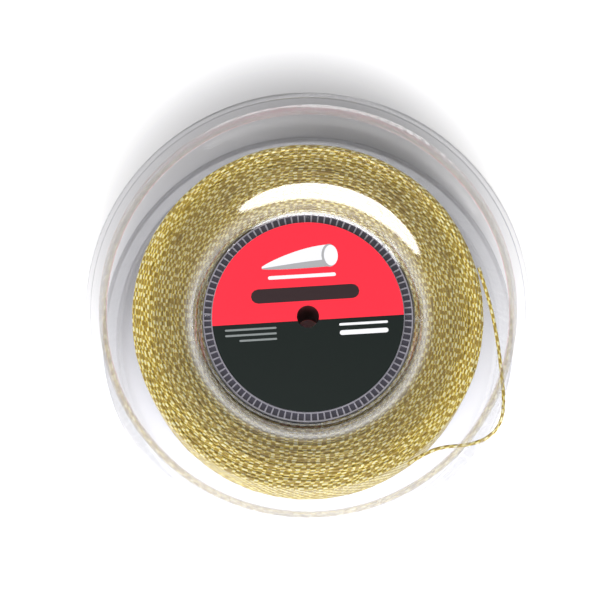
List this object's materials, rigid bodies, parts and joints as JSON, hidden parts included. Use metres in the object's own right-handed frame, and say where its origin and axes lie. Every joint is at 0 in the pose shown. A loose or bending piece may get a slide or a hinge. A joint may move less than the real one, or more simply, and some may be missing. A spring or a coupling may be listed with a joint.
{
  "type": "string reel",
  "caption": "Clear plastic reel of tennis string: two dished flanges with flat rims and deep central recesses, a toothed core drum, and yellow twisted string wound between them.",
  "frame": {"origin": "centre of the reel, midway between the two rims on the spindle axis", "axes": "+Z along the spindle axis, out of the front label; +Y towards the red half of the front label"},
  "size_m": [0.156, 0.156, 0.072],
  "materials": {
    "clear_plastic": "clear, glossy, moulded",
    "core_plastic": "smoky violet, satin",
    "spindle_plastic": "dark maroon, satin",
    "label_card": "coated, half red and half green-black",
    "string": "yellow strands twisted with silvery brown ones"
  },
  "bodies": {
    "root": {"front_flange": "clear_plastic", "back_flange": "clear_plastic", "core_drum": "core_plastic", "spindle_tube": "spindle_plastic", "front_label": "label_card", "back_label": "label_card", "string_winding": "string", "string_tail": "string", "string_anchor": "string"}
  },
  "joints": []
}
